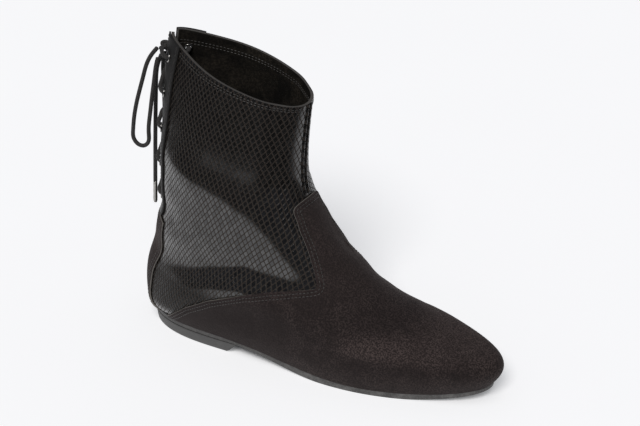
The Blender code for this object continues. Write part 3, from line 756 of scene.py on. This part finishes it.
def slit_half(ring):
    """Half the slit's width: a square root opens its round bottom, and it narrows a little to the
    collar."""
    share = np.clip((ring - SLIT_BOTTOM) / (1 - SLIT_BOTTOM), 0, 1)
    straight = SLIT_HALF_LOW + (SLIT_HALF_TOP - SLIT_HALF_LOW) * share
    return straight * np.sqrt(np.clip((ring - SLIT_BOTTOM) / SLIT_ROUND, 0, 1))


# %% Lacing
# distance from the middle of the back, lift of the cord that crosses over, lift of the one under it
CROSSING = np.array((
    (12, -4.6, -4.6), (12, -1, -1), (11.8, 2.2, 2.2), (9.8, 3.9, 3.9), (7, 3.3, 3.3), (4.6, 3, 3),
    (2.4, 2.7, 1), (0, 1.7, -1.4), (-2.5, -3, -3.6), (-5, -4.3, -4.4), (-9, -4.6, -4.6),
    (-11.4, -4.9, -4.9)))
OVER, UNDER = 1, 2
KNOT_RUN = np.array(((12, -4.6), (12, -1), (11.8, 2.2), (9.6, 4), (6.5, 4.6), (3.5, 5.2), (1.2, 5.4)))
INSIDE_RUN = ((7, -5.2), (0, -5.2), (-7, -5.2))


def lace_half(side, lift_column):
    """Places (ring, distance, lift) of the cord from its lowest eyelet on one side, from crossing to
    crossing."""
    places = []
    for low, high in zip(eyelet_rings[:-1], eyelet_rings[1:]):
        share = np.clip((EYELET_OUT - CROSSING[:, 0]) / (2 * EYELET_OUT), 0, 1)
        across = (low + (high - low) * share, side * CROSSING[:, 0], CROSSING[:, lift_column])
        places.append(np.stack(across, 1))
        side = -side
    places.append([(eyelet_rings[-1], side * distance, lift) for distance, lift in KNOT_RUN])
    return np.concatenate(places)


inside_bar = [(eyelet_rings[0], distance, lift) for distance, lift in INSIDE_RUN]
rings, distances, lifts = np.concatenate([lace_half(1, OVER)[::-1], inside_bar, lace_half(-1, UNDER)]).T
lace_path = along_route(lifted(rings, angle_at(rings, distances), lifts), 0.9)
lacing = add_piece("lacing", [tube_patch(lace_path, LACE)], [braid])
stands_for(lacing, *(f"lace_cross_{number}" for number in range(1, EYELETS)))

# %% Knot
KNOT_REACH = np.array((1.9, 3.1, 2.5))
KNOT_LIFT = 5.4
KNOT_POINTS = 90
t = np.linspace(0, 2 * np.pi, KNOT_POINTS)
trefoil = (-np.sin(3 * t), (np.cos(t) - 2 * np.cos(2 * t)) / 3, (np.sin(t) + 2 * np.sin(2 * t)) / 3)
knot_path = lifted(eyelet_rings[-1], 0.0, KNOT_LIFT) + np.stack(trefoil, 1) * KNOT_REACH
knot = add_piece("bow_knot", [tube_patch(knot_path, LACE)], [braid])
stands_for(knot, "lace_knot")

# %% [markdown]
# ## Eyelets
# An eyelet is a short metal tube, rolled over on the outside and flared open on the inside. Turning one
# profile makes it: the profile's radius and height are carried round each eyelet's own axis, the surface's
# normal. All ten are one joined mesh. A plain disc of the hole's size, turned in the same way, is the
# punch.

# %% Eyelets
EYELET_PROFILE = (
    (1.9, 0.3), (2.1, 0.78), (2.55, 0.98), (3.05, 0.88), (3.38, 0.52), (3.38, 0.18), (3, 0.1),
    (2.45, 0.1), (2.4, -3.6), (3, -3.62), (3.2, -3.85), (2.7, -4.05), (2.1, -3.9), (1.9, -3.5),
    (1.9, 0.3))
HOLE = ((0, 6), (2.7, 6), (2.7, -8), (0, -8))

rings = np.repeat(eyelet_rings, 2)
angles = angle_at(rings, np.tile((EYELET_OUT, -EYELET_OUT), EYELETS))
eyelet_middles = lifted(rings, angles, GAP + PANEL)
eyelet_axes = outward(rings, angles)
eyelet_sides = unit(np.cross(eyelet_axes, (0.0, 0.0, 1.0)))


def bare(points):
    """A patch whose finish needs no chart."""
    return points, np.zeros(points.shape[:2] + (2,)), False, 0


def turned(name, profile, sides):
    """A profile (radius, height) turned round every eyelet's axis: middle + radius * circle + height *
    axis."""
    profile = np.array(profile)[..., None, None]
    circle = circles(eyelet_sides, np.cross(eyelet_axes, eyelet_sides), sides)
    rise = profile[:, 1] * eyelet_axes[:, None, None]
    grids = eyelet_middles[:, None, None] + profile[:, 0] * circle[:, None] + rise
    return add_piece(name, [bare(grid) for grid in grids], [metal], closed=True)


eyelets = turned("eyelets", EYELET_PROFILE, 28)
stands_for(eyelets, *(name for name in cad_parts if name.startswith("eyelet_")))
punch = turned("punch", HOLE, 16)

# %% [markdown]
# ## Quarters
# Two quarters of embossed leather make the shaft. They meet in the seam down the front and part at the
# slit. Each half of the grid starts at the slit's edge, and the halves weld where they touch. The chart
# runs from the middle of the quarter's side: level distance across and height up, turned a little, as the
# skin was cut. Towards the front the diamonds grow, as on a real skin.

# %% Quarters
UPPER_RINGS = np.concatenate(
    [np.linspace(0, 0.465, 34)[:-1], np.linspace(0.465, 0.555, 26), np.linspace(0.565, 1, 46)])[:, None]
BACK_STEPS = np.linspace(0.0, 30.0, 20)
FRONT_SHARES = np.linspace(0, 1, 85)[1:]
CHART_COLUMN = 44
CHART_X = 70.0
NET_LEAN = np.radians(12)
SCALE_GROWTH = 260.0


def skin_chart(points):
    """Chart of a quarter: level distance around from one column, counted on from that column's x, and the
    height. The steps shrink towards the front, so that the pattern grows there."""
    level = spans(points * (1, 1, 0), 1, CHART_COLUMN) + points[:, CHART_COLUMN, None, 0] - CHART_X
    ahead = np.clip(level, 0, None)
    level = level + SCALE_GROWTH * (1 - np.exp(-ahead / SCALE_GROWTH)) - ahead
    cos, sin = np.cos(NET_LEAN), np.sin(NET_LEAN)
    return np.stack([level, points[..., 2]], -1) @ ((cos, sin), (-sin, cos))


def both_sides(rings, angles, lift, chart):
    """Patches of a panel on the left side and of the same panel on the right side."""
    sides = [(lifted(rings, side * angles, lift), side < 0) for side in (1, -1)]
    return [(points, chart(points), flip, 0) for points, flip in sides]


# even steps of distance from the slit's edge, then even steps of angle to the front
start = angle_at(UPPER_RINGS, slit_half(UPPER_RINGS) + BACK_STEPS)
quarter_angles = np.concatenate([start, start[:, -1:] + (np.pi - start[:, -1:]) * FRONT_SHARES], axis=1)
patches = both_sides(UPPER_RINGS, quarter_angles, 0.0, skin_chart)
quarters = add_piece("quarters", patches, [snake, lining, collar_edge])
thicken(quarters, WALL, -1, 0.7, punch, inside=1, rim=2)
stands_for(quarters, "upper")

# %% [markdown]
# ## Vamp
# The vamp is one piece of suede over toe and instep, with a tab up the front and a wing back to the heel on
# each side. Its edge is drawn in the side view with the cutter's rounded corners, then found on the last,
# and columns run from that edge down to the sole, where those of the tab fan out over the toe.

# %% Vamp
VAMP_WING = ((29, 12.8), (52.5, 30.5), (73.5, 42.5), (101.5, 54), (119, 58.7), (137, 62), (149.5, 63.8))
VAMP_TAB = ((144.5, 74.5), (139.5, 83.5), (131.5, 97), (126.5, 108.5), (126.5, 111.3), (133, 116.5))
CORNER_SOFT = 1.5
EDGE_POINTS = 800
FRONT_NEAR = 0.02
TAB_FAN = 0.5
VAMP_ROWS = 1 - (1 - np.linspace(0, 1, 74)[:, None])**1.35


def softened(route, soft):
    """A route with round corners: even points, blurred by a bell curve whose width is soft."""
    route = np.asarray(route, float)
    run = chord_run(route)
    even = np.linspace(0, run[-1], EDGE_POINTS)
    line = np.stack([np.interp(even, run, column) for column in route.T], 1)
    reach = int(3 * soft / even[1])
    bell = np.exp(-(np.arange(-reach, reach + 1) * even[1] / soft)**2 / 2)
    padded = np.concatenate([2 * line[0] - line[reach:0:-1], line, 2 * line[-1] - line[-2:-reach - 2:-1]])
    return np.stack([np.convolve(column, bell / bell.sum(), "valid") for column in padded.T], 1)


def on_last(side_view):
    """Ring and angle of points (x, z) of the side view: for each, the ring whose height at that x is z."""
    x, z = side_view[:, :1], side_view[:, 1:]
    rings = np.linspace(0, 1, 801)
    row = natural_spline(RING_PLACES, RINGS, rings)
    share = np.clip((x - row[:, BACK_X]) / (row[:, FRONT_X] - row[:, BACK_X]), 0, 1)
    height = ring_height(row, x, share)
    after = np.clip((height < z).sum(1), 1, len(rings) - 1)
    pick = np.arange(len(x))
    low, high = height[pick, after - 1], height[pick, after]
    part = np.clip((z[:, 0] - low) / (high - low), 0, 1)
    return rings[after - 1] + part * rings[1], np.arccos(1 - 2 * share[pick, after])


def even_places(ring, angle, spacing):
    """The same line on the last, with its points at even distances."""
    run = chord_run(last_surface(ring, angle))
    even = np.linspace(0, run[-1], int(run[-1] / spacing) + 2)
    return np.interp(even, run, ring), np.interp(even, run, angle)


edge_ring, edge_angle = on_last(softened(VAMP_WING + VAMP_TAB, CORNER_SOFT))
front = int(np.argmax(edge_angle > np.pi - FRONT_NEAR)) or len(edge_angle)
edge_ring = np.append(edge_ring[:front], edge_ring[front - 1])
edge_angle = np.append(edge_angle[:front], np.pi)
edge_ring, edge_angle = even_places(edge_ring, edge_angle, 1.0)
edge_angle = np.maximum.accumulate(edge_angle)
tab_ring = on_last(np.array(VAMP_WING[-1:]))[0][0]
fan = np.interp(edge_ring, (tab_ring, edge_ring.max()), (0.0, TAB_FAN))
sole_angle = np.pi - (np.pi - edge_angle) * (1 - fan)
vamp_angles = sole_angle + (edge_angle - sole_angle) * VAMP_ROWS
patches = both_sides(VAMP_ROWS * edge_ring, vamp_angles, GAP, lambda points: flat_chart(points, -1))
vamp = add_piece("suede_vamp", patches, [suede, cut_edge])
thicken(vamp, PANEL, 1, 0.3, rim=1)
stands_for(vamp, "vamp")

# %% [markdown]
# ## Counter, facings and front seam
# The counter wraps the back of the heel below the slit. Two facings of smooth calf stiffen the slit's edges
# and hold the eyelets. The seam down the front is two turned edges side by side, a raised pair of lips with
# a dark line between, so its profile is carried along the rings.

# %% Counter and facings
COUNTER_TOP = 0.49
COUNTER_HALF = 30.0
FACING_FROM = 0.497
FACING_WIDTH = 19.0

counter_rings = np.linspace(0, COUNTER_TOP, 60)[:, None]
counter_steps = np.linspace(-COUNTER_HALF, COUNTER_HALF, 57)
points = lifted(counter_rings, angle_at(counter_rings, counter_steps), GAP)
patch = (points, flat_chart(points, len(counter_steps) // 2), False, 0)
counter = add_piece("suede_counter", [patch], [suede, cut_edge])
thicken(counter, PANEL, 1, 0.3, rim=1)
stands_for(counter, "counter")

facing_rings = np.linspace(FACING_FROM, 1, 90)[:, None]
facing_angles = angle_at(facing_rings, slit_half(facing_rings) + np.linspace(0, FACING_WIDTH, 17))
patches = both_sides(facing_rings, facing_angles, GAP, lambda points: flat_chart(points, 0))
for word, patch in zip(("left", "right"), patches):
    strip = add_piece(f"calf_facing_{word}", [patch], [calf])
    thicken(strip, PANEL, 1, 0.35, punch)
    stands_for(strip, f"facing_{word}")
bpy.data.objects.remove(punch)

# %% Front seam
SEAM_FROM = 0.713
SEAM_HALF = 3.0
SEAM_LIFT = 0.9
LIP_MIDDLE = 0.58
LIP_REACH = 0.42

seam_rings = np.linspace(SEAM_FROM, 1, 60)[:, None]
seam_steps = np.linspace(-1, 1, 31)
lip = np.clip(1 - np.abs(np.abs(seam_steps) - LIP_MIDDLE) / LIP_REACH, 0, 1)
lip = lip * lip * (3 - 2 * lip)
seam_angles = np.pi + SEAM_HALF * seam_steps / natural_spline(RING_PLACES, RINGS[:, TIP_WIDTH], seam_rings)
points = lifted(seam_rings, seam_angles, GAP + SEAM_LIFT * lip)
chart = flat_chart(points, len(seam_steps) // 2)
stretches = ((slice(0, 12), 0), (slice(11, 20), 1), (slice(19, 31), 0))
patches = [(points[:, part], chart[:, part], False, number) for part, number in stretches]
seam = add_piece("front_seam_lips", patches, [snake, valley])
thicken(seam, 0.25, -1, 0.08)
stands_for(seam, "front_seam")

# %% [markdown]
# ## Sole, heel and insole
# The sole is a thin slab of rubber that follows the foot's outline, rises under the arch and springs at the
# toe. A low heel sits under its back with a slanted breast. A slab here is an outline carried down a
# profile: over the rounded upper edge, down the side, round the lower edge and in to the middle line.

# %% Slabs along an outline
SOLE_EDGE = 1.5
HEEL_TAPER = 0.6
INSOLE = 3.0
FLAT_FROM, FLAT_TO = 158.0, 204.0
WAIST_RISE, WAIST_TO = 8.0, 80.0
TOE_RISE, TOE_END, TOE_POWER = 6.3, 260.0, 1.8
BREAST_TOP, BREAST_BOTTOM = 88.0, 80.0
INNER_ROW = 5.0
EDGE_CUT = 0.3


def sole_underside(x):
    """Height of the sole's underside: a smooth step up behind the forefoot, flat, then a power curve up to
    the toe."""
    waist = np.clip((FLAT_FROM - x) / (FLAT_FROM - WAIST_TO), 0, 1)
    toe = np.clip((x - FLAT_TO) / (TOE_END - FLAT_TO), 0, None)
    return WAIST_RISE * (3 * waist**2 - 2 * waist**3) + TOE_RISE * toe**TOE_POWER


def shifted(outline, distance):
    """A closed outline moved outwards along its normals."""
    ahead = np.roll(outline, -1, axis=0) - np.roll(outline, 1, axis=0)
    return outline - distance * unit(np.stack([ahead[:, 1], -ahead[:, 0]], 1))


def slab(name, finished, outlines, top, bottom, edges):
    """A closed slab. Each row of its profile has a share of the way down, an inset (none at the middle
    line) and a distance from the nearer face."""
    upper, lower = ([(share, None, 0), (share, INNER_ROW, 0), (share, edge, 0),
                     (share, EDGE_CUT * edge, EDGE_CUT * edge), (share, 0, edge)]
                    for share, edge in enumerate(edges))
    side = [(share, 0, 0) for share in np.linspace(0.25, 0.75, 5)]
    rows = []
    for share, inset, drop in upper + side + lower[::-1]:
        outline = outlines[0] + (outlines[1] - outlines[0]) * share
        mirror = -np.arange(len(outline)) % len(outline)
        outline = (outline + outline[mirror]) / 2 if inset is None else shifted(outline, -inset)
        high, low = top(outline[:, 0]), bottom(outline[:, 0])
        height = high + (low - high) * share + (drop if share == 1 else -drop)
        rows.append(np.concatenate([outline, height[:, None]], 1))
    points = np.stack(rows)
    points = np.concatenate([points, points[:, :1]], axis=1)
    return add_piece(name, [bare(points)], [finished], closed=True)


# %% Outsole and insole
turn = np.linspace(0, 2 * np.pi, 260, endpoint=False)
foot_outline = last_surface(0.0, turn)[:, :2]
outlines = [shifted(foot_outline, SOLE_EDGE)] * 2
outsole = slab("rubber_outsole", sole_rubber, outlines, lambda x: seat_height(x) - GAP,
               sole_underside, (0.5, 0.3))
stands_for(outsole, "outsole")

outlines = [shifted(foot_outline, -WALL - 2 * GAP)] * 2
insole = slab("sock_insole", lining, outlines, lambda x: seat_height(x) + INSOLE,
              seat_height, (0.8, 0.3))
stands_for(insole, "insole")


# %% Heel
def heel_outline(breast, offset):
    """Outline of the heel: the sole's curve back from the breast, and a straight line across at the
    breast."""
    edge = shifted(foot_outline, offset)[:len(turn) // 2]
    reach = np.interp(breast, edge[:, 0], turn[:len(edge)])
    curve = reach * np.linspace(0, 1, 70)
    left = np.stack([np.interp(curve, turn[:len(edge)], column) for column in edge.T], 1)
    across = left[-1] + np.linspace(0, 1, 16)[1:, None] * (np.array((breast, 0.0)) - left[-1])
    half = np.concatenate([left, across])
    return np.concatenate([half, (half * (1, -1))[-2:0:-1]])


outlines = heel_outline(BREAST_TOP, SOLE_EDGE), heel_outline(BREAST_BOTTOM, SOLE_EDGE - HEEL_TAPER)
heel = slab("rubber_heel", rubber, outlines, lambda x: sole_underside(x) - GAP, lambda x: 0.0 * x,
            (0.1, 0.9))
stands_for(heel, "heel")

# %% [markdown]
# ## Stitches
# Two rows of thread hold each edge of the suede, one row runs along each edge of a facing, and two run
# round the collar, outside and inside. Every stitch is a short rounded bead that lies along its seam. A
# seam is a line on the last, moved sideways along the surface, and the beads of all seams are made
# together, as one array.

# %% Stitches
STITCH_SPACING = 2.5
STITCH_LENGTH = 1.9
STITCH_RADIUS = 0.3
BEAD_ROWS, BEAD_SIDES = 7, 8
EDGE_ROWS = (2.0, 4.4)
ON_PANEL = GAP + PANEL + 0.02


def slide(ring, angle, distance):
    """A line on the last moved sideways: the step that lies across the line, in steps of ring and angle."""
    up, around = slopes(ring, angle)
    across = unit(np.cross(np.cross(up, around), np.gradient(last_surface(ring, angle), axis=0))) * distance
    uu, aa, ua = (up * up).sum(1), (around * around).sum(1), (up * around).sum(1)
    cu, ca = (across * up).sum(1), (across * around).sum(1)
    spread = uu * aa - ua**2
    return ring + (cu * aa - ca * ua) / spread, angle + (ca * uu - cu * ua) / spread


def beads(ring, angle, lift):
    """Stitches along a line: middle + a * ahead + sqrt(1 - a^4) * radius * circle."""
    ring, angle = even_places(ring, angle, STITCH_SPACING)
    middle = lifted(ring, angle, lift)
    ahead = unit(np.gradient(middle, axis=0))
    normal = outward(ring, angle)
    a = np.linspace(-1, 1, BEAD_ROWS)[:, None, None]
    circle = circles(np.cross(normal, ahead), normal, BEAD_SIDES)
    core = middle[:, None, None] + (a * STITCH_LENGTH / 2) * ahead[:, None, None]
    return core + STITCH_RADIUS * np.sqrt(1 - a**4) * circle[:, None]


def sew(name, seams):
    """One piece with the stitches of several seams (ring, angle, lift)."""
    bead = np.concatenate([beads(*seam) for seam in seams])
    add_piece(name, [bare(points) for points in bead], [thread], weld=0.001, closed=True)
    print(name, "has", len(bead), "stitches")


vamp_seams = []
back_seams = []
collar_seams = []
facing_line = np.linspace(FACING_FROM + 0.006, 0.994, 80)
counter_line = np.linspace(0.02, COUNTER_TOP - 0.02, 60)
for side in (1, -1):
    for distance in EDGE_ROWS:
        vamp_seams.append((*slide(edge_ring[6:], side * edge_angle[6:], side * distance), ON_PANEL))
    for distance in (2.0, FACING_WIDTH - 2.0):
        facing_angle = angle_at(facing_line, side * (slit_half(facing_line) + distance))
        back_seams.append((facing_line, facing_angle, ON_PANEL))
    for distance in EDGE_ROWS:
        back_seams.append((counter_line, angle_at(counter_line, side * (COUNTER_HALF - distance)), ON_PANEL))
    for drop, lift in ((0.013, 0.05), (0.022, 0.05), (0.03, -WALL - 0.02), (0.039, -WALL - 0.02)):
        first = angle_at(1 - drop, slit_half(1 - drop) + (FACING_WIDTH + 1.5 if lift > 0 else 3.0))[0]
        collar_seams.append((np.full(90, 1 - drop), side * np.linspace(first, np.pi - 0.11, 90), lift))
across = np.linspace(-COUNTER_HALF + 5.5, COUNTER_HALF - 5.5, 60)
for drop in (0.011, 0.026):
    line = np.full(len(across), COUNTER_TOP - drop)
    back_seams.append((line, angle_at(line, across), ON_PANEL))
sew("vamp_stitches", vamp_seams)
sew("back_stitches", back_seams)
sew("collar_stitches", collar_seams)

# %% [markdown]
# ## Floor and light
# The boot stands on a plain pale floor: a lit sheet, as a maker's light table has, so that shadows stay
# thin. It doesn't glow under the boot. A wide soft light comes from the camera's side, and the boot's
# shadow falls away behind the toe. Polished black leather shows what it mirrors: the bright sheet close by,
# and the dim room beyond. So the sheet ends just outside the picture for every ray but the camera's own,
# which meets a pale floor and a pale wall on all sides. Dark flags around a light table do the same: they
# are in the mirror, but not in the picture.

# %% Floor
FLOOR_REACH = 4.0
# direction on the floor, where the sheet starts to fade and where it has ended: front, left, toe
SHEET_ENDS = (
    ((0.486, -0.874), (0.19, 0.4)),
    ((-0.874, -0.486), (0.48, 0.66)),
    ((0.85, -0.53), (0.16, 0.25)),
)
SHEET_GLOW = 0.38
UNDER_BOOT = (0.132, 0.036, 1.0)

paper, place = finish("pale_floor")
x, y, _ = place.parts()
beyond = [(x * to_x + y * to_y).between(*fade) for (to_x, to_y), fade in SHEET_ENDS]
outside = beyond[0].maths("MAXIMUM", beyond[1]).maths("MAXIMUM", beyond[2])
outside = outside * (node(place.tree, "LightPath")["Is Camera Ray"] * -1.0 + 1.0)
cloud = place.noise(3.0, 2.0)[0]
paper_colour = cloud.blend((0.82, 0.82, 0.83, 1), (0.84, 0.84, 0.85, 1))
paper_colour = outside.blend(paper_colour, (0.02, 0.02, 0.022, 1))
oval = node(place.tree, "VectorMath", {0: place, 1: UNDER_BOOT}, operation="DIVIDE")[0]
oval = node(place.tree, "VectorMath", {0: oval}, operation="LENGTH")[1]
dim = outside.maths("MAXIMUM", oval.between(1.05, 0.75))
glow = dim.blend((0.97, 0.98, 1.0, 1), (0.0, 0.0, 0.0, 1))
dress(place, paper_colour, cloud * 0.1 + 0.8, Emission_Color=glow, Emission_Strength=SHEET_GLOW)
corners = np.array(((-1, -1, 0), (1, -1, 0), (1, 1, 0), (-1, 1, 0))) * FLOOR_REACH
floor_mesh = bpy.data.meshes.new("floor")
floor_mesh.from_pydata(corners, [], [(0, 1, 2, 3)])
floor_mesh.materials.append(paper)
floor = put_in_scene("floor", floor_mesh)
print("floor:", 2 * FLOOR_REACH, "m wide")

# %% Light
KEY_TOWARDS = np.array((0.2, -0.6, 0.77))
KEY_SPREAD = math.radians(28)
KEY_ENERGY = 2.1
DIM_SHARE = 0.1
WALL_FILL = 0.12

sky = bpy.data.worlds.new("sky")
sky.use_nodes = True
tree = sky.node_tree
dim_sky = node(tree, "Background", {0: (0.8, 0.86, 1.0, 1), 1: DIM_SHARE})[0]
pale_sky = node(tree, "Background", {0: (0.895, 0.9, 0.92, 1)})[0]
rays = node(tree, "LightPath")
pale_share = rays["Is Diffuse Ray"] * WALL_FILL + rays["Is Camera Ray"]
both = node(tree, "MixShader", {0: pale_share, 1: dim_sky, 2: pale_sky})[0]
feed(tree.nodes["World Output"].inputs[0], both)
tree.nodes.remove(tree.nodes["Background"])
bpy.context.scene.world = sky

lamp = put_in_scene("key", bpy.data.lights.new("key", "SUN"))
lamp.data.angle = KEY_SPREAD
lamp.data.energy = KEY_ENERGY
lamp.data.color = (1.0, 0.985, 0.965)
lamp.matrix_world = aim(KEY_TOWARDS, -KEY_TOWARDS, np.array((0.0, 0.0, 1.0)))
bpy.context.scene.view_settings.view_transform = "Standard"
print("key light from", KEY_TOWARDS.tolist())

# %% [markdown]
# ## Last update
# The view layer is brought up to date.

# %% Finish
bpy.context.view_layer.update()
